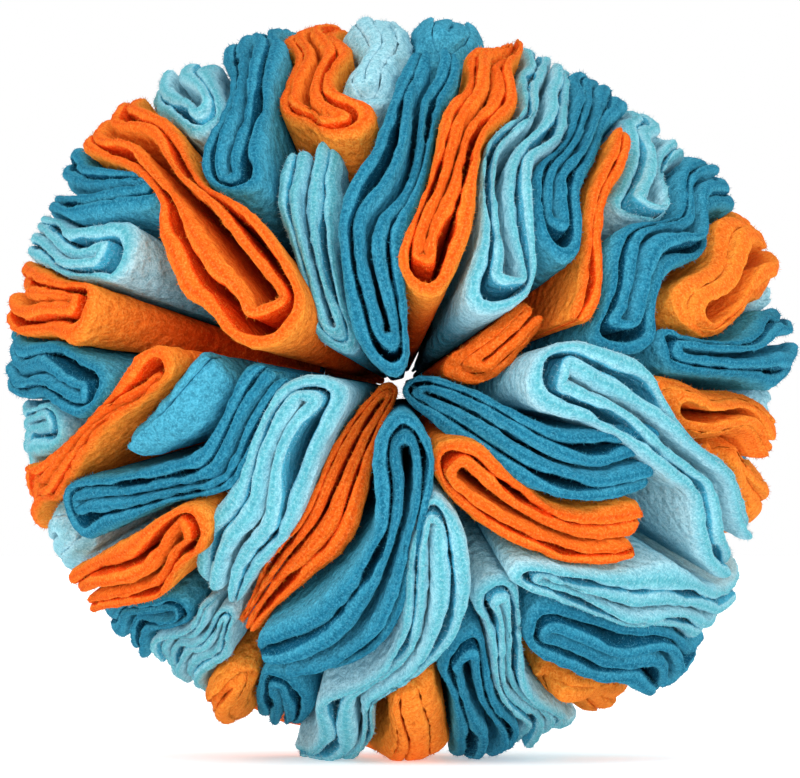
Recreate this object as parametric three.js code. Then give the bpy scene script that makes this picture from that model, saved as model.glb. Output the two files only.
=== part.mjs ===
// A dog's snuffle ball: discs of fleece, each folded into a petal, drawn tight round a small middle hole.
// The petals' cut edges make a ball of folded ribbons, and the folds between them are pockets for treats.
// Millimetres, +Z up. The hole runs along Y with its front at -Y, and the ball rests on z = 0.
import * as THREE from "three";
import { mergeVertices } from "three/addons/utils/BufferGeometryUtils.js";

// Sizes of the ball
const BALL_RADIUS = 75.5; // from the ball's middle to the cut edges
const SETTLING = 0.97; // share of its height that the ball keeps under its own weight
const CENTRE_HEIGHT = 71.3; // of the middle above the surface, low enough for the lowest edges to lie flat
const ROOT_RADIUS = 20; // where the petals are drawn together
const HOLE_RADIUS = 3.5; // of the way through the middle
const DIMPLE_DEPTH = 10; // by which the edges sink beside the hole
const DIMPLE_ANGLE = 13; // from the hole's axis, in degrees, over which they rise again

// Sizes of the fleece
const FLEECE = 3; // thickness of one layer
const LAYER_GAP = 0.5; // between the two layers of a folded disc
const PETAL_GAP = 1.1; // between neighbours at the edge, and in proportion nearer the root
const LEAF = FLEECE + LAYER_GAP / 2; // half the thickness of a disc folded in two
const POCKET_FLOOR = 0.75; // share of the way from edge to root at which the two layers join
const END_REACH = 1.8; // by which the two ends of a folded disc run past its last points
const END_SHARE = 0.85; // of the thickness that is left there

// Steps of the mesh
const SPINE_STEPS = 12; // points on a petal's mid-line
const STATION_SPACING = { narrow: 11, wide: 15 }; // between points along one run
const FEWEST_STATIONS = 4;
const TURN_ANGLES = [45, 90, 135]; // points round the turn from one run to the next, in degrees
const SAMPLE_SPACING = 2.5; // between the points of a mid-line that keep neighbours off
const REACH_ALONG = [-6, -3, 0, 3, 6]; // places fore and aft whose squeeze the stiff cloth follows
const WIDEST_EDGE = 1.15; // share of its own width to which a petal may spread at the edge
const WIDEST_ROOT = 3; // and at the root

const COLOURS = { orange: 0xf47a20, teal: 0x1f7fa6, aqua: 0x79c7d8 };
const ROUGHNESS = 0.95;

// One row for each petal. Its nose is the folded end and its tail the open end, with a point midway.
// Bearings run clockwise from the top as seen from the front, slopes from the front of the hole, in degrees.
// Gaps lie between neighbouring runs at either end, runs counts the lengths of a fold, rise lifts the edge.
const COLUMNS = [
  "colour", "noseBearing", "noseSlope", "midBearing", "midSlope", "tailBearing", "tailSlope",
  "noseGap", "tailGap", "runs", "rise",
];
const ROWS = [
  // round the front of the hole
  ["teal", 326, 5, 354, 27, 6, 64, 3, 2, 2, 0],
  ["orange", 4, 13, 13, 34, 18, 97, 0.8, 0.6, 2, 4],
  ["aqua", 54, 17, 27, 35, 24, 104, 6, 0.6, 2, 2],
  ["orange", 84, 11, 68, 17, 60, 25, 3, 3, 2, -10],
  ["teal", 80, 3, 112, 18, 108, 46, 2, 2, 2, 1],
  ["orange", 148, 10, 130, 28, 121, 50, 5, 2, 2, 1],
  ["aqua", 157, 16, 176, 40, 190, 98, 1, 1, 2, 3],
  ["teal", 180, 4, 191, 27, 206, 57, 3, 2, 2, 3],
  ["orange", 262, 7, 213, 24, 211, 54, 0.8, 3, 2, -2],
  ["aqua", 278, 12, 231, 25, 217, 50, 0.8, 1, 2, 0],
  ["orange", 285, 18, 313, 42, 313, 106, 9, 3, 2, 4],
  ["aqua", 297, 12, 326, 27, 343, 42, 2, 2, 2, -7],
  // halfway out, clockwise from the top
  ["orange", 344, 43, 346, 62, 349, 98, 2.5, 1, 2, 0],
  ["teal", 51, 32, 37, 48, 32, 107, 2.5, 0.6, 2, 0],
  ["orange", 72, 27, 51, 41, 40, 64, 0, 0, 1, -1],
  ["teal", 83, 35, 59, 47, 55, 124, 2, 2, 2, 0],
  ["aqua", 56, 48, 49, 62, 42, 107, 5, 2, 2, 1],
  ["aqua", 82, 22, 98, 41, 117, 70, 2.5, 4, 2, 3],
  ["orange", 88, 43, 93, 55, 99, 78, 5, 1, 2, 0],
  ["teal", 81, 43, 82, 62, 83, 106, 0.8, 7, 2, 1],
  ["aqua", 152, 33, 135, 46, 123, 106, 1, 1, 2, 4],
  ["teal", 154, 46, 142, 57, 132, 108, 1.5, 1.5, 2, 0],
  ["aqua", 159, 35, 158, 49, 158, 104, 0.8, 0.6, 2, 0],
  ["teal", 169, 42, 166, 58, 168, 106, 5, 2, 2, -1],
  ["orange", 175, 45, 178, 60, 177, 124, 3, 4, 2, -1],
  ["teal", 201, 58, 200, 74, 199, 106, 2, 2, 2, -2],
  ["aqua", 220, 46, 218, 58, 216, 104, 1, 1, 3, -1],
  ["orange", 230, 33, 234, 48, 238, 68, 7, 1, 2, 3],
  ["teal", 249, 64, 245, 33, 282, 25, 0.8, 0.8, 2, -1],
  ["teal", 258, 44, 264, 37, 270, 32, 0, 0, 1, -3],
  ["orange", 278, 33, 262, 49, 250, 100, 5, 1, 2, 3],
  ["orange", 284, 53, 284, 70, 284, 106, 1.5, 1.5, 2, 2],
  ["aqua", 296, 50, 293, 68, 294, 124, 1, 1, 2, 0],
  ["teal", 309, 49, 303, 66, 300, 106, 1, 5, 2, 0],
  ["teal", 321, 41, 333, 58, 341, 107, 1.5, 1.5, 2, 1],
  // at the outline, clockwise from the top
  ["teal", 7, 66, 7, 86, 8, 108, 1, 1, 2, 1],
  ["orange", 80, 50, 72, 66, 68, 106, 5, 3, 2, 0],
  ["aqua", 75, 86, 75, 97, 76, 109, 1, 1, 2, 0],
  ["aqua", 97, 80, 95, 93, 95, 109, 1, 1, 2, 0],
  ["orange", 102, 57, 107, 76, 114, 124, 1, 2, 2, 0],
  ["orange", 155, 62, 149, 80, 144, 107, 2, 1, 2, -2],
  ["orange", 209, 61, 208, 82, 207, 108, 2, 1, 2, 1],
  ["teal", 226, 54, 227, 78, 228, 108, 2, 2, 2, -1],
  ["aqua", 246, 70, 241, 92, 237, 122, 1, 1, 2, 0],
  ["aqua", 266, 63, 264, 84, 262, 106, 1, 1, 2, -3],
  ["teal", 268, 48, 272, 70, 275, 106, 0.8, 1, 2, 0],
  ["aqua", 326, 56, 325, 72, 325, 106, 3, 1, 2, 2],
  ["aqua", 354, 51, 356, 76, 356, 124, 1, 1, 2, 0],
  // behind the outline, in wider folds that lie along it
  ["orange", 50, 117, 26, 121, 3, 119, 1.2, 1.2, 4, 0],
  ["teal", 109, 122, 86, 119, 61, 122, 1.2, 1.2, 4, 1],
  ["aqua", 170, 118, 146, 121, 121, 119, 1.2, 1.2, 4, 0],
  ["orange", 230, 121, 206, 118, 183, 122, 1.2, 1.2, 4, 0],
  ["teal", 288, 119, 265, 122, 243, 118, 1.2, 1.2, 4, 1],
  ["aqua", 350, 121, 325, 118, 300, 122, 1.2, 1.2, 4, 0],
  // round the back of the hole, in the widest folds
  ["teal", 2, 172, 0, 152, 354, 134, 1.2, 1.2, 5, 3],
  ["aqua", 62, 172, 56, 152, 56, 134, 1.2, 1.2, 5, 4],
  ["orange", 116, 173, 118, 152, 114, 134, 1.2, 1.2, 5, 0],
  ["teal", 178, 172, 174, 152, 176, 134, 1.2, 1.2, 5, 4],
  ["aqua", 240, 173, 236, 152, 232, 134, 1.2, 1.2, 5, 0],
  ["orange", 300, 172, 298, 152, 296, 134, 1.2, 1.2, 5, 4],
];

// Unit vector at a bearing and slope.
function direction(bearing, slope) {
  const b = THREE.MathUtils.degToRad(bearing);
  const s = THREE.MathUtils.degToRad(slope);
  return new THREE.Vector3(Math.sin(s) * Math.sin(b), -Math.cos(s), Math.sin(s) * Math.cos(b));
}

// A row with its mid-line on the ball and the sizes that follow from it. Distances along and across
// the mid-line are x, from the inside of the nose to the inside of the tail, and y, to its right.
function petalOf(row) {
  const petal = Object.fromEntries(COLUMNS.map((column, i) => [column, row[i]]));
  const bend = new THREE.CatmullRomCurve3(["nose", "mid", "tail"].map((place) =>
    direction(petal[`${place}Bearing`], petal[`${place}Slope`])));
  const points = bend.getPoints(SPINE_STEPS).map((point) => point.setLength(BALL_RADIUS));
  petal.spine = new THREE.CatmullRomCurve3(points);
  petal.spineLength = petal.spine.getLength();
  petal.noseInset = petal.runs > 1 ? 2 * LEAF + petal.noseGap / 2 : LEAF;
  petal.tailInset = petal.runs > 2 ? 2 * LEAF + petal.tailGap / 2 : LEAF;
  petal.length = petal.spineLength - petal.noseInset - petal.tailInset;
  return petal;
}

// The gap between runs narrows or widens from the nose to the tail.
function gapAt(petal, x) {
  const fromTail = 1 - x / petal.length;
  return petal.tailGap + (petal.noseGap - petal.tailGap) * fromTail * fromTail;
}

// How far a run lies to the right of the mid-line.
function laneAt(petal, run, x) {
  return (run - (petal.runs - 1) / 2) * (2 * LEAF + gapAt(petal, x));
}

function halfWidthAt(petal, x) {
  return laneAt(petal, petal.runs - 1, x) + LEAF;
}

// Point, forward and rightward directions of the mid-line at x, on the unit sphere.
function frameAt(petal, x) {
  const u = (petal.noseInset + x) / petal.spineLength;
  const out = petal.spine.getPointAt(u).normalize();
  const forward = petal.spine.getTangentAt(u);
  forward.addScaledVector(out, -forward.dot(out)).normalize();
  return { out, forward, right: forward.clone().cross(out) };
}

// Points on the mid-lines, and on the hole's axis, that keep other petals off, with their widths.
function keepersOf(petals) {
  const keepers = [-1, 1].map((y) => ({ owner: null, out: new THREE.Vector3(0, y, 0), width: HOLE_RADIUS }));
  for (const petal of petals) {
    const steps = Math.ceil(petal.length / SAMPLE_SPACING);
    for (let i = 0; i <= steps; i++) {
      const x = (petal.length * i) / steps;
      keepers.push({ owner: petal, out: frameAt(petal, x).out, width: halfWidthAt(petal, x) });
    }
  }
  return keepers;
}

// Distance that a petal of some half width may reach from a point of its mid-line, along a direction,
// before it is nearer to a neighbour: distances to both are compared in proportion to their widths.
function roomAt(keepers, petal, out, along, width) {
  let room = Infinity;
  for (const keeper of keepers) {
    if (keeper.owner === petal) continue;
    const apart = 2 - 2 * out.dot(keeper.out);
    const ahead = along.dot(keeper.out);
    const root = (ahead * width) ** 2 + (keeper.width ** 2 - width ** 2) * apart;
    const reach = root < 0 ? -1 : ahead * width + Math.sqrt(root);
    if (reach > 0) room = Math.min(room, (apart * width) / reach);
  }
  return room * BALL_RADIUS - PETAL_GAP / 2;
}

// Share of its natural width that a petal keeps at x, along a direction.
function shareAt(keepers, petal, x, along) {
  const nearX = THREE.MathUtils.clamp(x, 0, petal.length);
  const { out } = frameAt(petal, nearX);
  const level = along.clone().addScaledVector(out, -along.dot(out)).normalize();
  const width = halfWidthAt(petal, nearX);
  return roomAt(keepers, petal, out, level, width) / width;
}

// Directions from the ball's middle, at the edge and at the root, of the flat point (x, y) of a petal.
// A neighbour squeezes the edge, while the root fills all the room that there is.
function layOnBall(keepers, petal, x, y) {
  const baseX = THREE.MathUtils.clamp(x, 0, petal.length);
  const { out, forward, right } = frameAt(petal, baseX);
  const offset = forward.multiplyScalar(x - baseX).addScaledVector(right, y);
  const distance = offset.length();
  if (distance === 0) return { edge: out, root: out };
  const along = offset.normalize();
  const share = Math.min(...REACH_ALONG.map((ahead) => shareAt(keepers, petal, baseX + ahead, along)));
  const at = (scale) => out.clone().addScaledVector(along, (distance * scale) / BALL_RADIUS).normalize();
  return { edge: at(Math.min(WIDEST_EDGE, share)), root: at(Math.min(WIDEST_ROOT, share)) };
}

// Flat mid-line of a folded disc: its runs go to and fro along the petal, joined by half turns.
function leafPath(petal) {
  const spacing = petal.runs > 3 ? STATION_SPACING.wide : STATION_SPACING.narrow;
  const stations = Math.max(FEWEST_STATIONS, Math.round(petal.length / spacing));
  const path = [];
  for (let run = 0; run < petal.runs; run++) {
    const toNose = run % 2 === 0;
    for (let i = 0; i < stations; i++) {
      const x = petal.length * (toNose ? 1 - i / (stations - 1) : i / (stations - 1));
      path.push(new THREE.Vector2(x, laneAt(petal, run, x)));
    }
    if (run === petal.runs - 1) break;
    const end = toNose ? 0 : petal.length;
    const from = laneAt(petal, run, end);
    const radius = (laneAt(petal, run + 1, end) - from) / 2;
    for (const degrees of TURN_ANGLES) {
      const angle = THREE.MathUtils.degToRad(degrees);
      const x = end + (toNose ? -1 : 1) * radius * Math.sin(angle);
      path.push(new THREE.Vector2(x, from + radius - radius * Math.cos(angle)));
    }
  }
  return path;
}

// The path as stations, each with its place, the direction to its left and the share of the thickness there.
function stationsOf(path) {
  const last = path.length - 1;
  return path.map((place, i) => {
    const heading = path[Math.min(i + 1, last)].clone().sub(path[Math.max(i - 1, 0)]).normalize();
    const left = new THREE.Vector2(-heading.y, heading.x);
    if (i > 0 && i < last) return { place, left, share: 1 };
    const end = place.clone().addScaledVector(heading, i > 0 ? END_REACH : -END_REACH);
    return { place: end, left, share: END_SHARE };
  });
}

// Moves a point aside from the hole's axis, keeping the room that there is round it, and onto the surface.
function settle(point) {
  const fromAxis = Math.hypot(point.x, point.z);
  const scale = Math.hypot(fromAxis, HOLE_RADIUS) / fromAxis;
  const height = point.z * scale * SETTLING + CENTRE_HEIGHT;
  return new THREE.Vector3(point.x * scale, point.y, Math.max(0, height));
}

// Distance from the ball's middle to the cut edge in a direction. The rise fades towards the outline.
function edgeRadius(petal, out) {
  const facing = Math.min(1, Math.abs(out.y));
  const slope = THREE.MathUtils.radToDeg(Math.acos(facing));
  const free = BALL_RADIUS + petal.rise * facing - DIMPLE_DEPTH * Math.exp(-((slope / DIMPLE_ANGLE) ** 2));
  return out.z < 0 ? Math.min(free, CENTRE_HEIGHT / (-out.z * SETTLING)) : free;
}

// Section across a folded disc, with its edge at depth 0 and its root at depth 1: two layers with a gap
// between them, joined below the pocket.
function leafSection() {
  const slot = LAYER_GAP / 2;
  const corners = [
    [-LEAF, 0], [-slot, 0], [-slot, POCKET_FLOOR], [slot, POCKET_FLOOR],
    [slot, 0], [LEAF, 0], [LEAF, 1], [-LEAF, 1],
  ];
  return new THREE.Shape(corners.map(([across, depth]) => new THREE.Vector2(across, depth)));
}

// A petal: the section of its folded disc, extruded by one step for each station of the path, with every
// point of it then laid on the ball along that path.
function petalGeometry(keepers, petal) {
  const stations = stationsOf(leafPath(petal));
  const steps = stations.length - 1;
  const extruded = new THREE.ExtrudeGeometry(leafSection(), { depth: steps, steps, bevelEnabled: false });
  extruded.deleteAttribute("normal");
  extruded.deleteAttribute("uv");
  const geometry = mergeVertices(extruded);
  const position = geometry.getAttribute("position");
  const point = new THREE.Vector3();
  for (let i = 0; i < position.count; i++) {
    point.fromBufferAttribute(position, i);
    const { place, left, share } = stations[Math.round(point.z)];
    const flat = place.clone().addScaledVector(left, point.x * share);
    const { edge, root } = layOnBall(keepers, petal, flat.x, flat.y);
    const edgePoint = settle(edge.clone().multiplyScalar(edgeRadius(petal, edge)));
    const rootPoint = settle(root.clone().multiplyScalar(ROOT_RADIUS));
    edgePoint.lerp(rootPoint, point.y);
    position.setXYZ(i, edgePoint.x, edgePoint.y, edgePoint.z);
  }
  geometry.computeVertexNormals();
  return geometry;
}

const petals = ROWS.map(petalOf);
const keepers = keepersOf(petals);
const ball = new THREE.Group();
const counts = {};
for (const petal of petals) {
  counts[petal.colour] = (counts[petal.colour] ?? 0) + 1;
  const color = COLOURS[petal.colour];
  const fleece = new THREE.MeshStandardMaterial({ color, roughness: ROUGHNESS, metalness: 0 });
  const mesh = new THREE.Mesh(petalGeometry(keepers, petal), fleece);
  mesh.name = `${petal.colour}_petal_${String(counts[petal.colour]).padStart(2, "0")}`;
  ball.add(mesh);
}

export default ball;
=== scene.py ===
import math
import bpy
import numpy as np
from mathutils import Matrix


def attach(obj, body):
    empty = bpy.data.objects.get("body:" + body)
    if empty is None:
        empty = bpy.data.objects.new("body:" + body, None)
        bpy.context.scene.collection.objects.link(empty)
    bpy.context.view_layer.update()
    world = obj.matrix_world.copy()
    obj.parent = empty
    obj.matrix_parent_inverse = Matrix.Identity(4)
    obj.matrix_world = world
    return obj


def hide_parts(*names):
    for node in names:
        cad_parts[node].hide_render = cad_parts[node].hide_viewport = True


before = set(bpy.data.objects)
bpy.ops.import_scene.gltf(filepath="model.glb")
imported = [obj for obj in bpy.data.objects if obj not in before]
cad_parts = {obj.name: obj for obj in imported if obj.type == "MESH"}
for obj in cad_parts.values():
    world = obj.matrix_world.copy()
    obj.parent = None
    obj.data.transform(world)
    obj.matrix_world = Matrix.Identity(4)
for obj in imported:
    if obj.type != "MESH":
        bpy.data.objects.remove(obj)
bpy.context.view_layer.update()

# The ball that the petals are laid on, in millimetres and degrees
ball = dict(radius=75.5, settling=0.97, centreHeight=71.3, rootRadius=20.0, holeRadius=3.2, edgeHole=1.0,
            pinch=0.65, rootPinch=0.45, pinchWidth=9.0, dimpleDepth=14.0, dimpleAngle=14.0)

# The folded fleece and how it is laid, in millimetres and degrees
fleece = dict(layer=3.0, layerGap=0.5, petalGap=0.7, widestEdge=1.15, widestRoot=3.0,
              reachAlong=(-6, -3, 0, 3, 6), sampleSpacing=2.5, spineSteps=12, spineFineness=20,
              sideTails=(95, 112), tailUnevenness=4.5, tailTurn=2.4, backRuns=4,
              narrowFrom=0.35, narrowPower=1.2, shareSpacing=1.5, leastShares=8, fanSteps=25, meanReach=3)
leafHalf = fleece["layer"] + fleece["layerGap"] / 2
tiny = 1e-9  # keeps a division off nought

# The petals' mid-lines by bearing and slope in degrees, then the gaps between runs at both ends, the number
# of runs and how far the petal rises at the front, in millimetres
petalColumns = ("colour", "noseBearing", "noseSlope", "midBearing", "midSlope", "tailBearing", "tailSlope",
                "noseGap", "tailGap", "runs", "rise")
petalRows = [
    # round the front of the hole
    ("teal", 328, 5, 354, 27, 6, 64, 3, 2, 2, 0),
    ("orange", 10, 13.5, 14, 34, 18, 88, 0.8, 0.5, 2, 4),
    ("aqua", 54, 17, 27, 35, 24, 104, 6, 0.6, 2, 2),
    ("orange", 84, 12, 66, 18, 56, 28, 0.8, 0.8, 2, -8),
    ("teal", 80, 2, 116, 22, 106, 44, 2, 0.8, 2, 1),
    ("orange", 148, 11, 133, 30, 120, 47, 4, 0.8, 2, 1),
    ("aqua", 155, 17, 177, 39, 194, 96, 1, 0.8, 2, 3),
    ("teal", 180, 5, 184.5, 28, 205, 52, 4, 1.6, 2, 3),
    ("orange", 285, 2.5, 215, 24, 212.5, 53, 3, 0.8, 2, -6),
    ("aqua", 278, 12, 233, 25, 222, 48, 0.8, 0.8, 2, 0),
    ("orange", 289, 17, 312, 42, 313, 106, 9, 1.4, 2, 4),
    ("aqua", 300, 12, 327, 27, 341, 48, 2, 0.6, 2, -6),
    # halfway out, clockwise from the top
    ("orange", 343, 40, 345, 60, 349, 96, 4, 1, 2, 0),
    ("teal", 51, 32, 37, 48, 32, 107, 2.5, 0.6, 2, 0),
    ("orange", 72, 27, 51, 41, 40, 64, 0, 0, 1, -1),
    ("teal", 83, 35, 59, 47, 55, 124, 2, 0.8, 2, 0),
    ("aqua", 56, 48, 49, 62, 42, 107, 5, 2, 2, 1),
    ("aqua", 81, 18.5, 98, 36, 117, 76, 2.5, 3, 2, 3),
    ("orange", 88, 43, 93, 55, 99, 78, 5, 1, 2, 0),
    ("teal", 81, 43, 82, 62, 83, 106, 0.8, 4, 2, 1),
    ("aqua", 152, 33, 135, 46, 123, 106, 1, 1, 2, 4),
    ("teal", 154, 46, 142, 57, 132, 108, 1.5, 1.5, 2, 0),
    ("aqua", 159, 35, 158, 49, 158, 104, 0.8, 0.6, 2, 0),
    ("teal", 169, 42, 166, 58, 168, 106, 5, 2, 2, -1),
    ("orange", 179, 45, 180, 60, 178, 124, 0.2, 0.2, 2, 3),
    ("teal", 201, 58, 200, 74, 199, 106, 2, 2, 2, -2),
    ("aqua", 220, 46, 218, 58, 216, 104, 1, 1, 3, -1),
    ("orange", 230, 33, 234, 48, 235, 78, 6, 0.6, 2, 3),
    ("teal", 248, 65, 244, 31, 281, 17.5, 0.8, 0.8, 2, -1),
    ("teal", 253, 46, 266, 35, 283, 27, 0, 0, 1, 1),
    ("orange", 281, 32, 262, 47, 250, 100, 2, 1, 2, 3),
    ("orange", 284, 53, 284, 70, 284, 106, 1.5, 1.5, 2, 2),
    ("aqua", 296, 50, 293, 68, 294, 124, 1, 1, 2, 0),
    ("teal", 309, 49, 303, 66, 300, 106, 1, 5, 2, 0),
    ("teal", 322, 40, 333, 58, 341, 105, 3, 1.5, 2, 1),
    # at the outline, clockwise from the top
    ("teal", 7, 66, 7, 86, 8, 108, 0.3, 0.3, 2, 1),
    ("orange", 80, 50, 72, 66, 68, 106, 5, 3, 2, 0),
    ("aqua", 75, 86, 75, 97, 76, 109, 0.3, 0.3, 2, 0),
    ("aqua", 97, 80, 95, 93, 95, 109, 0.3, 0.3, 2, 0),
    ("orange", 102.5, 59, 106, 76, 111, 124, 0.2, 0.2, 2, 0),
    ("orange", 155, 60, 149, 78, 144, 105, 0.2, 0.2, 2, 0),
    ("orange", 209, 61, 208, 82, 207, 108, 0.2, 0.2, 2, 1),
    ("teal", 226, 54, 227, 78, 228, 108, 2, 2, 2, -1),
    ("aqua", 247, 70, 243, 92, 241, 122, 1, 1, 2, 0),
    ("aqua", 266, 63, 264, 84, 262, 106, 1, 1, 2, -3),
    ("teal", 268, 48, 272, 70, 275, 106, 0.8, 1, 2, 0),
    ("aqua", 326, 56, 325, 72, 325, 106, 3, 1, 2, 2),
    ("aqua", 354, 51, 356, 76, 356, 124, 0.3, 0.3, 2, 0),
    # behind the outline, in wider folds that lie along it
    ("orange", 50, 117, 26, 121, 3, 119, 1.2, 1.2, 4, 0),
    ("teal", 109, 122, 86, 119, 61, 122, 1.2, 1.2, 4, 1),
    ("aqua", 170, 118, 146, 121, 121, 119, 1.2, 1.2, 4, 0),
    ("orange", 230, 121, 206, 118, 183, 122, 1.2, 1.2, 4, 0),
    ("teal", 288, 119, 265, 122, 243, 118, 1.2, 1.2, 4, 1),
    ("aqua", 350, 121, 325, 118, 300, 122, 1.2, 1.2, 4, 0),
    # round the back of the hole, in the widest folds
    ("teal", 2, 172, 0, 152, 354, 134, 1.2, 1.2, 5, 3),
    ("aqua", 62, 172, 56, 152, 56, 134, 1.2, 1.2, 5, 4),
    ("orange", 116, 173, 118, 152, 114, 134, 1.2, 1.2, 5, 0),
    ("teal", 178, 172, 174, 152, 176, 134, 1.2, 1.2, 5, 4),
    ("aqua", 240, 173, 236, 152, 232, 134, 1.2, 1.2, 5, 0),
    ("orange", 300, 172, 298, 152, 296, 134, 1.2, 1.2, 5, 4),
]


def unit(vectors):  # vectors divided by their lengths
    return vectors / np.maximum(np.linalg.norm(vectors, axis=-1, keepdims=True), tiny)


def arcAlong(points):  # length along a line of points, up to each of them
    return np.append(0, np.cumsum(np.linalg.norm(np.diff(points, axis=0), axis=-1)))


def facing(bearing, slope):  # unit vector: bearing clockwise from the top, slope from the front of the hole
    b, s = math.radians(bearing), math.radians(slope)
    return np.array([math.sin(s) * math.sin(b), -math.cos(s), math.sin(s) * math.cos(b)])


# Centripetal curve: between two points a cubic whose end slopes weigh the neighbouring spans by root length
def curveThrough(points, count):
    ends = np.vstack([2 * points[0] - points[1], points, 2 * points[-1] - points[-2]])
    span = np.sqrt(np.linalg.norm(np.diff(ends, axis=0), axis=1))
    t = np.linspace(0, len(points) - 1, count)
    i = np.minimum(t.astype(int), len(points) - 2)
    f = (t - i)[:, None]
    a, b, c, d = (ends[i + k] for k in range(4))
    s, m, e = (span[i + k][:, None] for k in range(3))
    slopeB = ((b - a) / s - (c - a) / (s + m) + (c - b) / m) * m
    slopeC = ((c - b) / m - (d - b) / (m + e) + (d - c) / e) * m
    return b + f * (slopeB + f * (3 * (c - b) - 2 * slopeB - slopeC + f * (2 * (b - c) + slopeB + slopeC)))


def petalOf(row):  # a row with its mid-line on the ball and the sizes that follow from it
    petal = dict(zip(petalColumns, row))
    sideFrom, sideTo = fleece["sideTails"]
    if sideFrom < petal["tailSlope"] < sideTo and petal["runs"] < fleece["backRuns"]:  # these end unevenly
        petal["tailSlope"] += fleece["tailUnevenness"] * math.sin(fleece["tailTurn"] * petal["tailBearing"])
    points = [facing(petal[place + "Bearing"], petal[place + "Slope"]) for place in ("nose", "mid", "tail")]
    coarse = unit(curveThrough(np.array(points), fleece["spineSteps"] + 1)) * ball["radius"]
    petal["curve"] = curveThrough(coarse, fleece["spineSteps"] * fleece["spineFineness"] + 1)
    petal["arc"] = arcAlong(petal["curve"])
    petal["heading"] = np.gradient(petal["curve"], petal["arc"], axis=0)
    petal["noseInset"] = 2 * leafHalf + petal["noseGap"] / 2 if petal["runs"] > 1 else leafHalf
    petal["tailInset"] = 2 * leafHalf + petal["tailGap"] / 2 if petal["runs"] > 2 else leafHalf
    petal["length"] = petal["arc"][-1] - petal["noseInset"] - petal["tailInset"]
    return petal


def gapAt(petal, x):  # between two runs: the tail's gap, and more by the square of what is left to the nose
    return petal["tailGap"] + (petal["noseGap"] - petal["tailGap"]) * (1 - x / petal["length"]) ** 2


def laneAt(petal, run, x):  # how far a run lies to the right of the mid-line
    return (run - (petal["runs"] - 1) / 2) * (2 * leafHalf + gapAt(petal, x))


def narrowed(petal, x):  # share of its width that a petal has, with less towards its tail
    start = fleece["narrowFrom"]
    past = np.clip((np.asarray(x, float) / petal["length"] - start) / (1 - start), 0, 1)
    less = narrowing.get(petal["node"], 0) * past ** fleece["narrowPower"]
    return slimness.get(petal["node"], 1) * (1 - less)


def halfWidthAt(petal, x):  # the outermost run's place and half its thickness, narrowed
    return (laneAt(petal, petal["runs"] - 1, x) + leafHalf) * narrowed(petal, x)


def frameAt(petal, x):  # outward, forward and rightward unit vectors of the mid-line
    u = petal["noseInset"] + np.asarray(x, float)
    along = lambda table: np.stack([np.interp(u, petal["arc"], table[:, k]) for k in range(3)], axis=-1)
    out = unit(along(petal["curve"]))
    forward = along(petal["heading"])
    forward = unit(forward - out * (forward * out).sum(-1, keepdims=True))
    return out, forward, np.cross(forward, out)


def keepersOf(petals):  # points on the mid-lines and at the hole that keep other petals off
    outs = [np.array([[0, -1.0, 0], [0, 1.0, 0]])]
    widths = [np.full(2, ball["edgeHole"])]
    owners = [np.full(2, -1)]
    for i, petal in enumerate(petals):
        x = np.linspace(0, petal["length"], math.ceil(petal["length"] / fleece["sampleSpacing"]) + 1)
        outs.append(frameAt(petal, x)[0])
        widths.append(halfWidthAt(petal, x))
        owners.append(np.full(len(x), i))
    return np.vstack(outs), np.concatenate(widths), np.concatenate(owners)


# Share of its width that a petal keeps: it reaches to where its distance and a neighbour's, each divided by
# its width, are equal, and the stiff cloth follows the tightest place a little fore and aft
def shareAt(petals, keepers, index, x, along):
    petal = petals[index]
    outs, widths, owners = keepers
    other = owners != index
    share = np.full(len(x), np.inf)
    for ahead in fleece["reachAlong"]:
        near = np.clip(x + ahead, 0, petal["length"])
        out = frameAt(petal, near)[0]
        level = unit(along - out * (along * out).sum(-1, keepdims=True))
        width = halfWidthAt(petal, near)[:, None]
        apart = 2 - 2 * out @ outs[other].T
        towards = (level @ outs[other].T) * width
        root = towards ** 2 + (widths[other] ** 2 - width ** 2) * apart
        reach = np.where(root < 0, -1, towards + np.sqrt(np.maximum(root, 0)))
        room = np.where(reach > 0, apart * width / np.maximum(reach, tiny), np.inf).min(axis=1)
        share = np.minimum(share, (room * ball["radius"] - fleece["petalGap"] / 2) / width[:, 0])
    return share


def softened(shares):  # running mean, so that a petal's sides and ends are rounded
    reach = fleece["meanReach"]
    padded = np.pad(np.minimum(shares, fleece["widestRoot"]), reach, mode="edge")
    return sum(padded[k:k + len(shares)] for k in range(2 * reach + 1)) / (2 * reach + 1)


def shareTables(petals, keepers, index):  # shares to the left and right, and fanwise round both ends
    petal = petals[index]
    count = max(fleece["leastShares"], int(petal["length"] / fleece["shareSpacing"]))
    x = np.linspace(0, petal["length"], count)
    right = frameAt(petal, x)[2]
    fan = np.linspace(-np.pi / 2, np.pi / 2, fleece["fanSteps"])
    tables = dict(x=x, fan=fan)
    tables["right"] = softened(shareAt(petals, keepers, index, x, right))
    tables["left"] = softened(shareAt(petals, keepers, index, x, -right))
    for name, at, sign in (("nose", 0.0, -1), ("tail", petal["length"], 1)):
        _, forward, side = frameAt(petal, np.full(len(fan), at))
        along = sign * forward * np.cos(fan)[:, None] + side * np.sin(fan)[:, None]
        tables[name] = softened(shareAt(petals, keepers, index, np.full(len(fan), at), along))
    return tables


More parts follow.
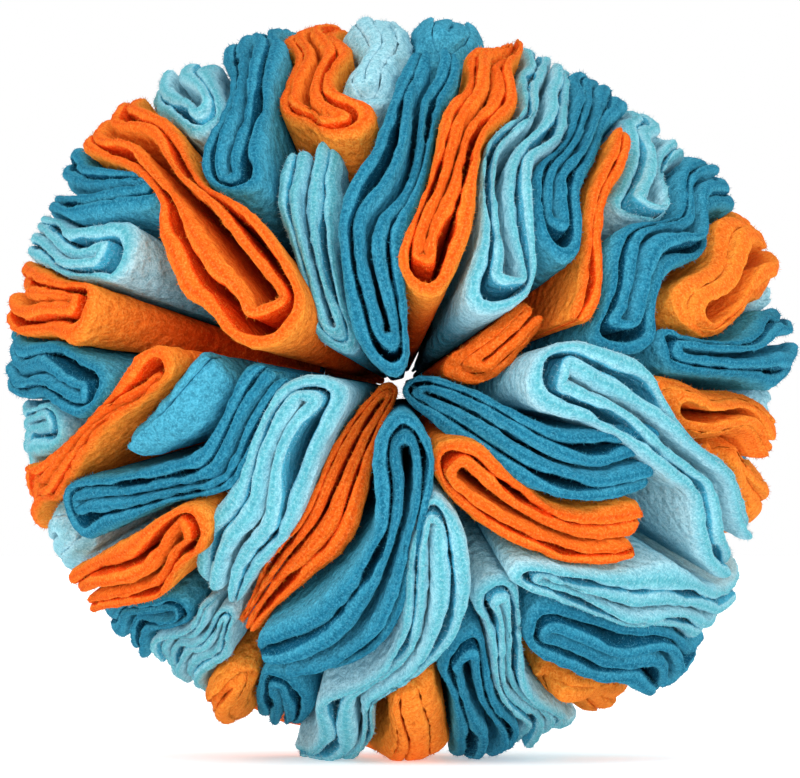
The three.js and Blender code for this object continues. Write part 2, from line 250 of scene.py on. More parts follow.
# Directions from the ball's middle, at the cut edge and at the root, of points laid out flat: the mid-line's
# own direction plus the offset aside, times the share of its width that the petal keeps there
def layOnBall(petal, x, y):
    tables = petal["tables"]
    baseX = np.clip(x, 0, petal["length"])
    past = x - baseX
    share = np.where(y > 0, np.interp(baseX, tables["x"], tables["right"]),
                     np.interp(baseX, tables["x"], tables["left"]))
    turn = np.arctan2(y, np.abs(past))
    share = np.where(past < 0, np.interp(turn, tables["fan"], tables["nose"]), share)
    share = np.where(past > 0, np.interp(turn, tables["fan"], tables["tail"]), share)
    share = np.maximum(share, leastShare.get(petal["node"], 0))
    out, forward, right = frameAt(petal, baseX)
    offset = (forward * past[..., None] + right * y[..., None]) / ball["radius"]
    widest = swelling.get(petal["node"], fleece["widestEdge"])
    edge = unit(out + offset * np.minimum(widest, share)[..., None])
    root = unit(out + offset * np.minimum(fleece["widestRoot"], share)[..., None])
    return edge, root


def settle(points, hole, pinch):  # moves points aside from the hole's axis and down onto the surface
    fromAxis = np.hypot(points[..., 0], points[..., 2])
    scale = np.hypot(fromAxis, hole) / np.maximum(fromAxis, tiny)
    scale = scale * (1 - pinch * np.exp(-(fromAxis / ball["pinchWidth"]) ** 2))
    height = points[..., 2] * scale * ball["settling"] + ball["centreHeight"]
    return np.stack([points[..., 0] * scale, points[..., 1], np.maximum(0, height)], axis=-1)


def edgeRadius(petal, out, lift):  # distance from the ball's middle to the cut edge
    front = np.minimum(1, np.abs(out[..., 1]))
    slope = np.degrees(np.arccos(front))
    free = ball["radius"] + petal["rise"] * front + lift
    dip = ball["dimpleDepth"] + noseDip.get(petal["node"], 0) * (out[..., 1] < 0)
    free = free - dip * np.exp(-(slope / ball["dimpleAngle"]) ** 2)
    down = np.maximum(tiny, -out[..., 2]) * ball["settling"]
    return np.where(out[..., 2] < 0, np.minimum(free, ball["centreHeight"] / down), free)


# How finely a petal's flat mid-line is drawn, in millimetres
pathLook = dict(runPoints=60, turnPoints=26, endStations=(0, 0.25, 0.7, 1.4), evenFrom=2.4, leastStations=12)


# Flat mid-line of a folded piece: runs to and fro joined by half turns, then spaced evenly along its length
# between a few closer stations at both ends
def leafPath(petal, spacing):
    pieces = []
    for run in range(petal["runs"]):
        toNose = run % 2 == 0
        x = petal["length"] * np.linspace(int(toNose), int(not toNose), pathLook["runPoints"])
        pieces.append(np.stack([x, laneAt(petal, run, x)], axis=-1))
        if run == petal["runs"] - 1:
            break
        end, side = (0.0, -1) if toNose else (petal["length"], 1)
        start = laneAt(petal, run, end)
        radius = (laneAt(petal, run + 1, end) - start) / 2
        angle = np.linspace(0, np.pi, pathLook["turnPoints"])[1:-1]
        turn = [end + side * radius * np.sin(angle), start + radius - radius * np.cos(angle)]
        pieces.append(np.stack(turn, axis=-1))
    path = np.vstack(pieces)
    arc = arcAlong(path)
    ends = np.array(pathLook["endStations"])
    count = max(pathLook["leastStations"], int(arc[-1] / spacing))
    even = np.linspace(pathLook["evenFrom"], arc[-1] - pathLook["evenFrom"], count)
    even = np.concatenate([ends, even, arc[-1] - ends[::-1]])
    path = np.stack([np.interp(even, arc, path[:, k]) for k in range(2)], axis=-1)
    return path, even


# Smooth seeded noise: a sum of sine waves in random directions, with wave lengths between two sizes
def softNoise(points, shortest, longest, waves, seed):
    rng = np.random.default_rng(seed)
    direction = unit(rng.normal(size=(waves, points.shape[-1])))
    frequency = 2 * np.pi / np.exp(rng.uniform(math.log(shortest), math.log(longest), waves))
    phase = rng.uniform(0, 2 * np.pi, waves)
    total = np.zeros(points.shape[:-1])
    for k in range(waves):
        total += np.sin(points @ (direction[k] * frequency[k]) + phase[k])
    return total * math.sqrt(2 / waves)


# What a user would change on the petals, in millimetres
petalLook = dict(stationSpacing=1.45, backSpacing=2.8, frontPetals=48, outerShoulder=2.1, slotShoulder=1.4,
                 shoulderPower=2.2, groove=0.2, grooveWidth=0.2, lineWidth=0.26, cutPower=3,
                 endRounding=2.6, endWidth=0.5, endDrop=1.6, evenStations=1,
                 ripple=1.4, rippleWave=(24, 60), rippleApart=50.0,
                 lift=0.7, liftWave=(24, 70), layerApart=7.0,
                 noseSlack=(0.6, 2.6), hangPlace=8.0, hangReach=13.0, fullHang=2.4,
                 drift=1.5, driftWave=(22, 50), driftFrom=0.4, frontGain=1.7, sideCalm=0.5, domeCalm=0.5,
                 slot=0.2, slotOpening=0.9, slotWave=(14, 40), slotApart=60.0, slotFrom=6.0, slotEnd=4.0,
                 slotLip=0.3, dome=0.5, domeReach=1.1, domePower=2.2,
                 sideRim=0.45, frontRim=0.75, softRim=0.25,
                 standFrom=1.6, standFall=2.0, nap=0.12, napWave=(2.6, 5.0), napReach=25.0)

# Number of waves and first seed of each noise, and the seeds of the hanging layers and the pile
wavesOf = dict(slot=7, ripple=6, lift=7, drift=9, nap=40)
seedOf = dict(slot=300, ripple=40, lift=90, drift=21, nap=7, slack=1000, pile=500)


def waveNoise(points, name, index=0):  # smooth noise by its name in the dictionaries above
    return softNoise(points, *petalLook[name + "Wave"], wavesOf[name], seedOf[name] + index)


# By how much a petal stands out at the ball's outline or falls short there
standOut = dict(
    orange_petal_06=-2.5, teal_petal_14=-1.5, orange_petal_01=-4, aqua_petal_01=-4.5, teal_petal_04=-3.5,
    aqua_petal_05=-3.5, teal_petal_05=-1.5, orange_petal_13=0.5, aqua_petal_11=-1.5, teal_petal_06=1,
    aqua_petal_12=-4, orange_petal_14=-2.5, aqua_petal_07=0, teal_petal_07=2.5, orange_petal_15=-1,
    aqua_petal_08=-1, teal_petal_08=0, orange_petal_16=-1, teal_petal_09=-5, aqua_petal_02=0,
    aqua_petal_09=-4, teal_petal_15=-3.5, aqua_petal_13=-2, orange_petal_11=-1.5, aqua_petal_14=-2,
    teal_petal_16=-0.5, orange_petal_12=0.5, aqua_petal_10=1, teal_petal_12=2, orange_petal_05=1.5,
    aqua_petal_15=0.5, teal_petal_13=0, aqua_petal_16=-2.5)

# Least share of its width that a petal keeps where it lies over its neighbours
leastShare = dict(
    teal_petal_01=0.8, teal_petal_03=0.88, aqua_petal_03=0.85, teal_petal_02=0.8, orange_petal_03=0.74,
    aqua_petal_04=0.7, aqua_petal_06=0.75, orange_petal_05=0.8)

# How far past its own width a petal may swell, the share of it that one has all along, and by how much one
# narrows towards its tail
swelling = dict(
    teal_petal_11=1.6, orange_petal_14=1.4, orange_petal_08=1.3, orange_petal_09=1.5, orange_petal_02=1.6)
slimness = dict(
    orange_petal_01=1.2, orange_petal_11=0.66, teal_petal_11=1.9, orange_petal_04=0.8, orange_petal_09=1.45)
narrowing = dict(orange_petal_01=0.88, teal_petal_01=0.15, aqua_petal_01=0.2)

# Share of the cut edge that shows on petals whose soft side is outermost
softSide = dict(
    aqua_petal_16=0.35, teal_petal_14=0.4, orange_petal_16=0.2, orange_petal_15=0.25, aqua_petal_11=0.2,
    aqua_petal_12=0.2, orange_petal_14=0.2, orange_petal_09=0.3, teal_petal_11=0.15, aqua_petal_13=0.5,
    orange_petal_13=0.6, orange_petal_08=0.6, orange_petal_02=0.2)

# Height of the dome on petals that are rounder than the others
softDome = dict(
    teal_petal_11=3.5, orange_petal_09=4, aqua_petal_16=4, teal_petal_14=4, orange_petal_16=5,
    orange_petal_15=5, aqua_petal_13=4, orange_petal_14=5, aqua_petal_11=4, aqua_petal_12=4,
    orange_petal_13=2.5, orange_petal_08=5, orange_petal_02=3.5, teal_petal_06=2, aqua_petal_05=2.5,
    aqua_petal_15=2.5, aqua_petal_04=3.5)

# How far a petal dips further than the others towards the hole
noseDip = dict(orange_petal_04=13, teal_petal_02=12)

# How far the inner layer hangs back at the nose of some petals
looseNose = dict(
    orange_petal_05=4.2, aqua_petal_01=2.4, orange_petal_10=3.4, orange_petal_11=1.5, aqua_petal_05=1.0)

# Depths below the cut edge at which the flanks and the slot are drawn, and places across a layer's edge
flankDepths = np.array([2.2, 2.9, 3.8, 5.4, 7.5, 10.3, 14.2, 20.0, 28.5, 40.0, 55.5])
slotDepths = np.array([1.5, 2.2, 3.6, 7.0, 16.0, 41.0])
rimShares = np.array([-0.94, -0.78, -0.54, -0.3, -0.1, 0.1, 0.3, 0.54, 0.78, 0.94])
petalDepth = ball["radius"] - ball["rootRadius"]


# Section across a folded piece: up one flank, over the first layer's rounded edge, down and up the slot, over
# the second layer and down the other flank. An edge is two soft lobes of pile with the knit's line in a
# groove between them. Columns: place across, depth, cut share, line share, layer
def leafSection():
    look, half, inner = petalLook, leafHalf, petalLook["slot"] / 2
    middle, thick = (half + inner) / 2, (half - inner) / 2
    away = np.abs(rimShares)
    groove = look["groove"] * np.exp(-(away / look["grooveWidth"]) ** 2)
    line = np.exp(-(away / look["lineWidth"]) ** 2)
    parts = []
    for side in (-1, 1):
        wall = lambda place, depths: np.stack(
            [np.full(len(depths), side * place), depths, 0 * depths, 0 * depths, 0 * depths + side], axis=-1)
        flank, slot = wall(half, flankDepths), wall(inner, slotDepths)
        shoulder = np.where(rimShares * side > 0, look["outerShoulder"], look["slotShoulder"])
        rimDepth = shoulder * away ** look["shoulderPower"] + groove
        cut = 1 - away ** look["cutPower"]
        rim = np.stack([side * middle + thick * rimShares, rimDepth, cut, line, 0 * away + side], axis=-1)
        parts += [flank[::-1], rim, slot] if side < 0 else [slot[::-1], rim, flank]
    return np.vstack(parts)


section = leafSection()
rimColumn = len(flankDepths) + len(rimShares) // 2
rimColumns, rootColumns = [rimColumn, len(section) - rimColumn - 1], [0, len(section) - 1]


def calmAt(front):  # waves are calmer at the ball's side than at its front and back
    return np.clip(petalLook["frontGain"] * front, petalLook["sideCalm"], 1)


# Surface of a petal: the section is carried along the flat path and laid on the ball, where each point lies
# on the line from the cut edge to the root, as far along it as it is deep
def petalSurface(petal, index):
    look, node, folded = petalLook, petal["node"], petal["runs"] > 1
    rng = np.random.default_rng(seedOf["slack"] + index)
    spacing = look["stationSpacing"] if index < look["frontPetals"] else look["backSpacing"]
    path, arc = leafPath(petal, spacing)
    heading = unit(np.gradient(path, arc, axis=0))
    left = np.stack([-heading[:, 1], heading[:, 0]], axis=-1)
    across, depth, _, _, layer = section.T
    inner = (layer < 0)[None, :]
    toEnd = np.minimum(arc, arc[-1] - arc)
    taper = np.sqrt(1 - (1 - np.clip(toEnd / look["endRounding"], 0, 1)) ** 2)
    taper = look["endWidth"] + (1 - look["endWidth"]) * taper
    # the slot is open in places, and not near the ends
    place = np.stack([arc, np.full_like(arc, index * look["slotApart"])], axis=-1)
    waves = np.clip(waveNoise(place, "slot", index), 0, 1)
    opening = look["slotOpening"] * (node not in softSide) * waves ** 2
    opening = opening * np.clip(toEnd / look["slotFrom"], 0, 1)
    nearSlot = layer * (leafHalf - np.abs(across)) / (leafHalf - look["slot"] / 2)
    spread = across[None, :] + nearSlot[None, :] * opening[:, None]
    flat = path[:, None, :] + left[:, None, :] * (spread * taper[:, None])[..., None]
    x, y = flat[..., 0], flat[..., 1]
    # the inner layer hangs back from the nose, which opens the slot there
    slack = looseNose.get(node, rng.uniform(*look["noseSlack"])) * folded
    slack = slack * (node not in softDome or node in looseNose)
    turnRadius = leafHalf + petal["noseGap"] / 2
    x = x + slack * np.clip(-path[:, :1] / turnRadius, 0, 1) * inner
    hang = np.exp(-((path[:, :1] - look["hangPlace"]) / look["hangReach"]) ** 2)
    hang = hang * min(slack, petal["noseGap"]) / look["fullHang"]
    y = y - hang * np.sign(path[:, 1:]) * inner * (petal["runs"] == 2)
    # ripples bend the runs aside, most at the mid-line and not at the outer flanks
    onSpine = np.clip(x, 0, petal["length"])
    reach = laneAt(petal, petal["runs"] - 1, onSpine) + leafHalf
    place = np.stack([x, np.full_like(x, index * look["rippleApart"])], axis=-1)
    facingFront = np.abs(frameAt(petal, np.clip(path[:, 0], 0, petal["length"]))[0][:, 1])[:, None]
    ripple = look["ripple"] * calmAt(facingFront) * (look["domeCalm"] if node in softDome else 1)
    y = y + ripple * waveNoise(place, "ripple", index) * np.clip(1 - (y / reach) ** 2, 0, 1) * folded
    # a dome falls off from the petal's middle to its sides and ends
    pastEnd = np.clip(-x / turnRadius, 0, 1) + np.clip((x - petal["length"]) / leafHalf, 0, 1)
    fromMiddle = np.minimum(np.hypot(y / reach, pastEnd), look["domeReach"])
    bent = softDome.get(node, look["dome"]) * fromMiddle ** look["domePower"]
    y = y * narrowed(petal, onSpine)
    edge, root = (drifted(directions) for directions in layOnBall(petal, x, y))
    # edges rise and fall softly, drop at the ends, and stand out or fall short at the ball's outline
    place = np.stack(np.broadcast_arrays(arc[:, None], layer * look["layerApart"]), axis=-1)
    lift = look["lift"] * waveNoise(place, "lift", index) - look["endDrop"] * (1 - taper)[:, None]
    atOutline = np.clip(look["standFrom"] - look["standFall"] * np.abs(edge[..., 1]), 0, 1)
    lift = lift + standOut.get(node, 0) * atOutline
    top = evened(settle(edge * edgeRadius(petal, edge, lift)[..., None], ball["edgeHole"], ball["pinch"]))
    bottom = evened(settle(root * ball["rootRadius"], ball["holeRadius"], ball["rootPinch"]))
    # the slot closes towards both ends, where the cloth is folded over
    slotTop = slotDepths[0] - look["slotLip"]
    closing = np.clip(toEnd / look["slotEnd"], 0, 1)[:, None]
    inSlot = (np.abs(across) < look["slot"] / 2 + tiny)[None, :]
    depthGrid = np.where(inSlot, slotTop + (depth - slotTop) * closing ** 2, depth)
    # rims are flatter at the ball's side, and flatter still where the soft side is outermost
    rimHeight = np.clip(look["sideRim"] + look["frontRim"] * facingFront, 0, 1)
    rimHeight = rimHeight * (look["softRim"] if node in softSide else 1)
    depthGrid = np.where(depth < flankDepths[0], depthGrid * rimHeight, depthGrid)
    depthGrid = bent + depthGrid * (1 - bent / petalDepth)
    points = top + (bottom - top) * (depthGrid / petalDepth)[..., None]
    return napped(points, depth), arc


# Evens out corners along the path: a bell-shaped mean of neighbouring stations, mirrored past both ends
def evened(points):
    reach = 3 * petalLook["evenStations"]
    steps = np.arange(-reach, reach + 1)
    bell = np.exp(-0.5 * (steps / petalLook["evenStations"]) ** 2)
    padded = np.pad(points, ((reach, reach), (0, 0), (0, 0)), mode="reflect", reflect_type="odd")
    return sum(w * padded[k:k + len(points)] for k, w in enumerate(bell / bell.sum()))


# Shifts directions aside by soft noise that all petals share, so that neighbours bend together
def drifted(directions):
    places = directions * ball["radius"]
    shift = np.stack([waveNoise(places, "drift", k) for k in range(3)], axis=-1)
    offAxis = np.clip(np.hypot(directions[..., 0], directions[..., 2]) / petalLook["driftFrom"], 0, 1)
    offAxis = offAxis * calmAt(np.abs(directions[..., 1]))
    return unit(directions + shift * (petalLook["drift"] / ball["radius"] * offAxis)[..., None])


# Pushes each point along the surface's own normal by soft noise, less where the grid is coarse
def napped(points, depth):
    alongPath = np.gradient(points, axis=0)
    aroundSection = (np.roll(points, -1, axis=1) - np.roll(points, 1, axis=1)) / 2
    normal = unit(np.cross(alongPath, aroundSection))
    strength = petalLook["nap"] * np.exp(-depth / petalLook["napReach"])[None, :]
    moved = points + normal * (waveNoise(points, "nap") * strength)[..., None]
    moved[..., 2] = np.maximum(0, moved[..., 2])
    return moved


# Short pile, in millimetres: thin three-sided spikes at random places near the cut edge, leaning off the
# surface's normal
pileLook = dict(perMillimetre=11.5, reach=5.0, length=(0.35, 0.85), width=0.08, lean=0.75, sunk=0.15)


def pileOn(points, depth, rimLength, seed):
    look, rng = pileLook, np.random.default_rng(seed)
    stations, around = points.shape[:2]
    count = int(look["perMillimetre"] * rimLength)
    columns = np.linalg.norm(np.roll(points, -1, axis=1) - points, axis=-1).mean(axis=0)
    columns = columns * (depth < look["reach"]) * (np.roll(depth, -1) < look["reach"])
    j = rng.choice(around, count, p=columns / columns.sum())
    i = rng.integers(0, stations - 1, count)
    u, v = rng.random((2, count, 1))
    here, ahead = points[i, j], points[i + 1, j]
    aside, both = points[i, (j + 1) % around], points[i + 1, (j + 1) % around]
    foot = (here * (1 - u) + ahead * u) * (1 - v) + (aside * (1 - u) + both * u) * v
    normal = unit(np.cross(aside - here, ahead - here))
    lean = unit(normal + look["lean"] * rng.normal(size=normal.shape))
    side = unit(np.cross(lean, rng.normal(size=lean.shape)))
    turn = np.arange(3) * 2 * np.pi / 3
    ring = side[:, None] * np.cos(turn)[:, None] + np.cross(lean, side)[:, None] * np.sin(turn)[:, None]
    ring = (foot - normal * look["sunk"])[:, None] + ring * look["width"]
    tip = foot + lean * rng.uniform(*look["length"], (count, 1))
    spikes = np.concatenate([ring, tip[:, None]], axis=1)
    spikes[..., 2] = np.maximum(0, spikes[..., 2])
    return spikes


def putPile(name, spikes):  # four corners a spike, three sides each
    mesh = bpy.data.meshes.new(name)
    first = np.arange(len(spikes))[:, None, None] * 4
    faces = (first + np.array([[0, 1, 3], [1, 2, 3], [2, 0, 3]])[None]).reshape(-1, 3)
    mesh.vertices.add(len(spikes) * 4)
    mesh.vertices.foreach_set("co", (spikes / 1000).ravel())
    mesh.loops.add(faces.size)
    mesh.loops.foreach_set("vertex_index", faces.ravel().astype(np.int32))
    mesh.polygons.add(len(faces))
    mesh.polygons.foreach_set("loop_start", (np.arange(len(faces)) * 3).astype(np.int32))
    mesh.update()
    piece = bpy.data.objects.new(name, mesh)
    bpy.context.scene.collection.objects.link(piece)
    return piece


def putMesh(name, points, attributes):  # stations by section points, closed round the section and at the ends
    stations, around = points.shape[:2]
    mesh = bpy.data.meshes.new(name)
    mesh.vertices.add(stations * around)
    mesh.vertices.foreach_set("co", (points / 1000).ravel())
    i, j = np.meshgrid(np.arange(stations - 1), np.arange(around), indexing="ij")
    k = (j + 1) % around
    quads = np.stack([i * around + j, i * around + k, (i + 1) * around + k, (i + 1) * around + j], axis=-1)
    quads = quads.reshape(-1, 4)
    first = np.arange(around)[::-1]
    last = (stations - 1) * around + np.arange(around)
    corners = np.concatenate([quads.ravel(), first, last])
    starts = np.concatenate([np.arange(len(quads)) * 4, [len(quads) * 4, len(quads) * 4 + around]])
    mesh.loops.add(len(corners))
    mesh.loops.foreach_set("vertex_index", corners.astype(np.int32))
    mesh.polygons.add(len(starts))
    mesh.polygons.foreach_set("loop_start", starts.astype(np.int32))
    mesh.polygons.foreach_set("use_smooth", np.ones(len(starts), bool))
    for label, values in attributes.items():
        layer = mesh.attributes.new(label, "FLOAT", "POINT")
        layer.data.foreach_set("value", np.ascontiguousarray(values, np.float32).ravel())
    mesh.update()
    mesh.validate()
    piece = bpy.data.objects.new(name, mesh)
    bpy.context.scene.collection.objects.link(piece)
    return piece


# Fleece colours as the eye sees them, red, green and blue from 0 to 255: flank, cut edge and the knit's line,
# a shaded colour that is painted shade, and a tip colour that is a painted highlight on the pile; then the
# nap's scales per metre and a stitch's length in millimetres
fleeceLook = dict(
    orange=dict(flank=(255, 150, 52), cut=(251, 112, 32), line=(206, 58, 8),
                shaded=(242, 74, 7), tip=(255, 190, 110)),
    teal=dict(flank=(74, 166, 194), cut=(44, 134, 164), line=(12, 84, 114),
              shaded=(10, 82, 112), tip=(116, 192, 212)),
    aqua=dict(flank=(180, 226, 238), cut=(116, 194, 208), line=(54, 152, 164),
              shaded=(64, 166, 196), tip=(216, 240, 246)),
    napScale=2300, curlScale=850, mottleScale=90, pebbleScale=560, stitchLength=1.25,
    roughness=0.95, specular=0.03, sheenWeight=0.2, sheenRoughness=0.55,
    bumpStrength=0.9, bumpDistance=0.0008)

# Detail and roughness of the nap's noises, and how they weigh in the colour, the painted shade in its
# hollows, the painted highlight on the pile's tips and the height, where two numbers are a start and a gain
napLook = dict(napNoise=(4, 0.65), curlNoise=(2, 0.5), mottleNoise=(2, 0.5), pebbleNoise=(0, 0.5),
               stitch=(0.72, 0.22), line=(0.4, 0.8), shade=(-0.15, 1.5), shadeCurl=0.8, mottle=(0.9, 0.2),
               darkBelow=1.1, darkGain=0.9, grey=(0.5, 0.52), glintFrom=0.5, glintTo=0.8, glintMost=0.42,
               heightNap=0.5, heightCurl=0.6, flankLumps=1.2)


def linear(rgb):  # display colour to linear light
    c = np.array(rgb) / 255
    c = np.where(c <= 0.04045, c / 12.92, ((c + 0.055) / 1.055) ** 2.4)
    return (*c, 1)


# The nap also paints shade, turning the flank to the shaded colour, and paints highlights on the pile's tips
def makeNapGroup():  # colour and height of brushed fleece: flank, cut edge and the knit's line, with a nap
    group = bpy.data.node_groups.new("brushedNap", "ShaderNodeTree")
    face = group.interface
    for name, kind in (("Flank", "NodeSocketColor"), ("Cut", "NodeSocketColor"), ("Line", "NodeSocketColor"),
                       ("Shaded", "NodeSocketColor"), ("Tip", "NodeSocketColor"),
                       ("Cut Share", "NodeSocketFloat"), ("Line Share", "NodeSocketFloat"),
                       ("Shaded Share", "NodeSocketFloat"), ("Stitch Place", "NodeSocketFloat"),
                       ("Stitch Length", "NodeSocketFloat"), ("Nap Scale", "NodeSocketFloat"),
                       ("Curl Scale", "NodeSocketFloat"), ("Mottle Scale", "NodeSocketFloat"),
                       ("Pebble Scale", "NodeSocketFloat")):
        face.new_socket(name, in_out="INPUT", socket_type=kind)
    face.new_socket("Colour", in_out="OUTPUT", socket_type="NodeSocketColor")
    face.new_socket("Height", in_out="OUTPUT", socket_type="NodeSocketFloat")
    nodes, links = group.nodes, group.links
    take, give = nodes.new("NodeGroupInput"), nodes.new("NodeGroupOutput")
    place = nodes.new("ShaderNodeTexCoord").outputs["Object"]

    def noise(scale, detail, roughness):
        node = nodes.new("ShaderNodeTexNoise")
        node.inputs["Detail"].default_value = detail
        node.inputs["Roughness"].default_value = roughness
        links.new(place, node.inputs["Vector"])
        links.new(take.outputs[scale], node.inputs["Scale"])
        return node.outputs["Fac"]

    def math2(kind, a, b):
        node = nodes.new("ShaderNodeMath")
        node.operation = kind
        for socket, value in zip(node.inputs, (a, b)):
            if isinstance(value, (int, float)):
                socket.default_value = value
            else:
                links.new(value, socket)
        return node.outputs[0]

    def mix(kind, factor, a, b):
        node = nodes.new("ShaderNodeMix")
        node.data_type, node.blend_type = "RGBA", kind
        colourIn = [s for s in node.inputs if s.type == "RGBA"]
        if isinstance(factor, (int, float)):
            node.inputs[0].default_value = factor
        else:
            links.new(factor, node.inputs[0])
        for socket, value in zip(colourIn, (a, b)):
            if isinstance(value, tuple):
                socket.default_value = value
            else:
                links.new(value, socket)
        return [s for s in node.outputs if s.type == "RGBA"][0]

    def scaled(value, startAndGain):  # the start plus the gain times the value
        return math2("ADD", startAndGain[0], math2("MULTIPLY", value, startAndGain[1]))

    look = napLook
    nap, curl, mottle, pebble = (noise(name + " Scale", *look[name.lower() + "Noise"])
                                 for name in ("Nap", "Curl", "Mottle", "Pebble"))
    # painted shade: the flank colour turns to the shaded colour by the share that the attribute gives
    colour = mix("MIX", take.outputs["Shaded Share"], take.outputs["Flank"], take.outputs["Shaded"])
    colour = mix("MIX", take.outputs["Cut Share"], colour, take.outputs["Cut"])
    # the knit's line is stitched along the edge and broken by the nap
    stitches = math2("DIVIDE", take.outputs["Stitch Place"], take.outputs["Stitch Length"])
    stitch = scaled(math2("SINE", math2("MULTIPLY", stitches, 2 * math.pi), 0), look["stitch"])
    speck = math2("MULTIPLY", take.outputs["Line Share"], scaled(nap, look["line"]))
    colour = mix("MIX", math2("MULTIPLY", speck, stitch), colour, take.outputs["Line"])
    shade = math2("ADD", scaled(nap, look["shade"]), math2("MULTIPLY", curl, look["shadeCurl"]))
    shade = math2("MULTIPLY", shade, scaled(mottle, look["mottle"]))
    # between the tufts light is thrown to and fro, so the dark is richer in colour and not only darker
    darkness = nodes.new("ShaderNodeClamp")
    dark = math2("MULTIPLY", math2("SUBTRACT", look["darkBelow"], shade), look["darkGain"])
    links.new(dark, darkness.inputs["Value"])
    colour = mix("MIX", darkness.outputs[0], colour, take.outputs["Shaded"])
    grey = nodes.new("ShaderNodeCombineColor")
    level = scaled(shade, look["grey"])
    for socket in grey.inputs:
        links.new(level, socket)
    colour = mix("MULTIPLY", 1.0, colour, grey.outputs[0])
    # painted highlight: the lightest tips of the pile
    tip = nodes.new("ShaderNodeMapRange")
    for name, value in (("From Min", look["glintFrom"]), ("From Max", look["glintTo"]), ("To Min", 0.0),
                        ("To Max", look["glintMost"])):
        tip.inputs[name].default_value = value
    links.new(nap, tip.inputs["Value"])
    colour = mix("SCREEN", tip.outputs["Result"], colour, take.outputs["Tip"])
    links.new(colour, give.inputs["Colour"])
    height = math2("MULTIPLY", nap, look["heightNap"])
    height = math2("ADD", height, math2("MULTIPLY", curl, look["heightCurl"]))
    lumps = math2("MULTIPLY", pebble, math2("SUBTRACT", look["flankLumps"], take.outputs["Cut Share"]))
    links.new(math2("ADD", height, lumps), give.inputs["Height"])
    return group


def makeFleece(colour, group):  # a matte material that takes its colour and bumps from the nap
    look, tint = fleeceLook, fleeceLook[colour]
    material = bpy.data.materials.new(colour + "Fleece")
    material.use_nodes = True
    nodes, links = material.node_tree.nodes, material.node_tree.links
    shader = nodes["Principled BSDF"]
    nap = nodes.new("ShaderNodeGroup")
    nap.node_tree = group
    # the shaded colour is painted shade and the tip colour a painted highlight
    for name in ("flank", "cut", "line", "shaded", "tip"):
        nap.inputs[name.capitalize()].default_value = linear(tint[name])
    for name, label in (("Cut Share", "cutShare"), ("Line Share", "lineShare"), ("Shaded Share", "paintedShadeShare"),
                        ("Stitch Place", "stitchPlace")):
        attribute = nodes.new("ShaderNodeAttribute")
        attribute.attribute_name = label
        links.new(attribute.outputs["Fac"], nap.inputs[name])
    for name, label in (("Nap Scale", "napScale"), ("Curl Scale", "curlScale"),
                        ("Mottle Scale", "mottleScale"), ("Pebble Scale", "pebbleScale"),
                        ("Stitch Length", "stitchLength")):
        nap.inputs[name].default_value = look[label]
    bump = nodes.new("ShaderNodeBump")
    bump.inputs["Strength"].default_value = look["bumpStrength"]
    bump.inputs["Distance"].default_value = look["bumpDistance"]
    links.new(nap.outputs["Height"], bump.inputs["Height"])
    links.new(nap.outputs["Colour"], shader.inputs["Base Color"])
    links.new(bump.outputs["Normal"], shader.inputs["Normal"])
    for name, label in (("Roughness", "roughness"), ("Specular IOR Level", "specular"),
                        ("Sheen Weight", "sheenWeight"), ("Sheen Roughness", "sheenRoughness")):
        shader.inputs[name].default_value = look[label]
    shader.inputs["Sheen Tint"].default_value = linear(tint["cut"])
    return material


petals, counts = [petalOf(row) for row in petalRows], {}
for petal in petals:
    counts[petal["colour"]] = counts.get(petal["colour"], 0) + 1
    petal["node"] = "%s_petal_%02d" % (petal["colour"], counts[petal["colour"]])
keepers = keepersOf(petals)
for i, petal in enumerate(petals):
    petal["tables"] = shareTables(petals, keepers, i)
print("laid out", len(petals), "petals")

# How the painted shade gets richer down the flanks and on petals that lie lower, in millimetres
paintedShadeLook = dict(start=3.0, reach=22.0, recessDepth=10.0, recessMost=0.8)


# Share of the painted shade colour: all of it in the slot, unless the soft side is outermost, and on the
# flanks the depth past a start, divided by a reach, plus the petal's own recess, as painted shade on petals
# that lie lower
def paintedShadeShareOn(petal):
    across, depth = section[:, 0], section[:, 1]
    recess = np.clip(-petal["rise"] / paintedShadeLook["recessDepth"], 0, paintedShadeLook["recessMost"])
    inSlot = (np.abs(across) < petalLook["slot"]) & (petal["node"] not in softSide)
    return np.where(inSlot, 1, np.clip((depth - paintedShadeLook["start"]) / paintedShadeLook["reach"] + recess, 0, 1))


def measured(points):  # mean lengths of cut edge and root, and depth between them, in metres
    lengths = [[arcAlong(points[:, k])[-1] for k in columns] for columns in (rimColumns, rootColumns)]
    depth = np.linalg.norm(points[:, rimColumns[0]] - points[:, rootColumns[0]], axis=-1).mean()
    return np.mean(lengths[0]) / 1000, np.mean(lengths[1]) / 1000, depth / 1000


napGroup = makeNapGroup()
fleeceOf = {colour: makeFleece(colour, napGroup) for colour in ("orange", "teal", "aqua")}
triangles, spikesOf = 0, dict(orange=[], teal=[], aqua=[])
for i, petal in enumerate(petals):
    node, colour = petal["node"], petal["colour"]
    points, arc = petalSurface(petal, i)
    shape, edgeShown = points.shape[:2], softSide.get(node, 1)
    # the cut edge and the knit's line are the fleece's own; the third share is painted shade down the flanks,
    # in the slot and on lower petals
    shares = dict(cutShare=section[:, 2] * edgeShown, lineShare=section[:, 3] * edgeShown ** 2,
                  paintedShadeShare=paintedShadeShareOn(petal), stitchPlace=arc[:, None])
    piece = putMesh(node.replace("_petal_", "Petal"), points,
                    {label: np.broadcast_to(values, shape) for label, values in shares.items()})
    piece.data.materials.append(fleeceOf[colour])
    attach(piece, "root")
    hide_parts(node)
    petal["piece"] = piece
    petal["rimLength"], petal["rootLength"], petal["depth"] = measured(points)
    spikesOf[colour].append(pileOn(points, section[:, 1], petal["rimLength"] * 1000, seedOf["pile"] + i))
    triangles += shape[0] * shape[1] * 2
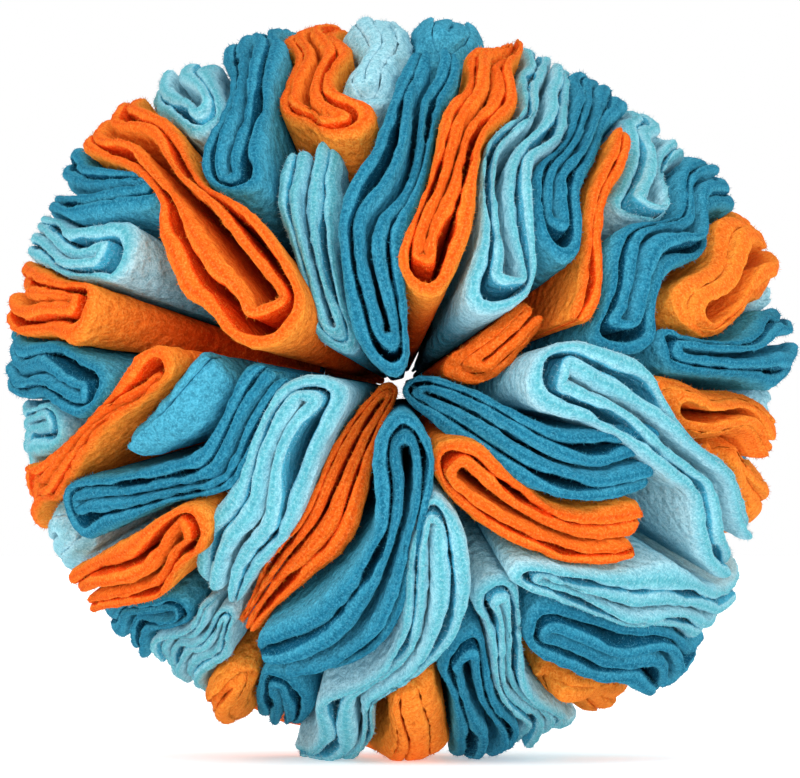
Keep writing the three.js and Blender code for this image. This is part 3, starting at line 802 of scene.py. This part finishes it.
print("made", len(petals), "fleece petals of", triangles, "triangles")

for colour, spikes in spikesOf.items():
    spikes = np.concatenate(spikes)
    piece = putPile(colour + "Pile", spikes)
    piece.data.materials.append(fleeceOf[colour])
    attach(piece, "root")
    print("brushed up", len(spikes), "tufts of", colour, "pile")

# Middle of each petal's mid-line, and how far it lies from the other petals' middles
middles = np.array([frameAt(petal, petal["length"] / 2)[0] for petal in petals])
for i, petal in enumerate(petals):
    away = np.linalg.norm(middles - middles[i], axis=1)
    away[i] = np.inf
print("declared", len(petals), "sheets")

# Floor, backdrop and light
studio = dict(floorColour=(0.96, 0.96, 0.96), floorSize=6.0, floorGlow=0.42, floorRoughness=0.9,
              worldLight=1.0, keyLight=11.5, keySize=1.4, keyPlace=(-0.5, -1.8, 1.2),
              fillLight=12.0, fillSize=0.6, fillPlace=(0.4, -2.3, 0.27), aim=(0, 0, 0.07))


def putFloor():  # a pale square that glows a little
    h = studio["floorSize"] / 2
    mesh = bpy.data.meshes.new("paleFloor")
    mesh.from_pydata([(-h, -h, 0), (h, -h, 0), (h, h, 0), (-h, h, 0)], [], [(0, 1, 2, 3)])
    floor = bpy.data.objects.new("paleFloor", mesh)
    bpy.context.scene.collection.objects.link(floor)
    material = bpy.data.materials.new("palePaper")
    material.use_nodes = True
    shader = material.node_tree.nodes["Principled BSDF"]
    shader.inputs["Base Color"].default_value = (*studio["floorColour"], 1)
    shader.inputs["Roughness"].default_value = studio["floorRoughness"]
    shader.inputs["Emission Color"].default_value = (*studio["floorColour"], 1)
    shader.inputs["Emission Strength"].default_value = studio["floorGlow"]
    mesh.materials.append(material)


def putLight(name, power, place, size):  # a square lamp that faces the ball
    light = bpy.data.lights.new(name, "AREA")
    light.energy, light.size = power, size
    lamp = bpy.data.objects.new(name, light)
    bpy.context.scene.collection.objects.link(lamp)
    away = np.array(place) - np.array(studio["aim"])
    lamp.location = place
    tilt, turn = math.acos(away[2] / np.linalg.norm(away)), math.atan2(away[1], away[0])
    lamp.rotation_euler = (tilt, 0, turn + math.pi / 2)


putFloor()
putLight("key", studio["keyLight"], studio["keyPlace"], studio["keySize"])
putLight("fill", studio["fillLight"], studio["fillPlace"], studio["fillSize"])
world = bpy.data.worlds.new("paleStudio")
world.use_nodes = True
backdrop = world.node_tree.nodes["Background"]
backdrop.inputs["Color"].default_value = (1, 1, 1, 1)
backdrop.inputs["Strength"].default_value = studio["worldLight"]
bpy.context.scene.world = world
bpy.context.scene.view_settings.view_transform = "Standard"

# Camera square to the front of the hole, far off so that the view is nearly flat
view = dict(distance=2.5, width=0.15385, height=0.0711, sensor=36.0, farthest=20.0)
camera = bpy.data.cameras.new("frontCamera")
camera.sensor_fit, camera.sensor_width = "HORIZONTAL", view["sensor"]
camera.lens = view["sensor"] * view["distance"] / view["width"]
camera.clip_end = view["farthest"]
eye = bpy.data.objects.new("frontCamera", camera)
eye.location = (0, -view["distance"], view["height"])
eye.rotation_euler = (math.pi / 2, 0, 0)
bpy.context.scene.collection.objects.link(eye)
bpy.context.scene.camera = eye
print("lit the ball and set the camera")
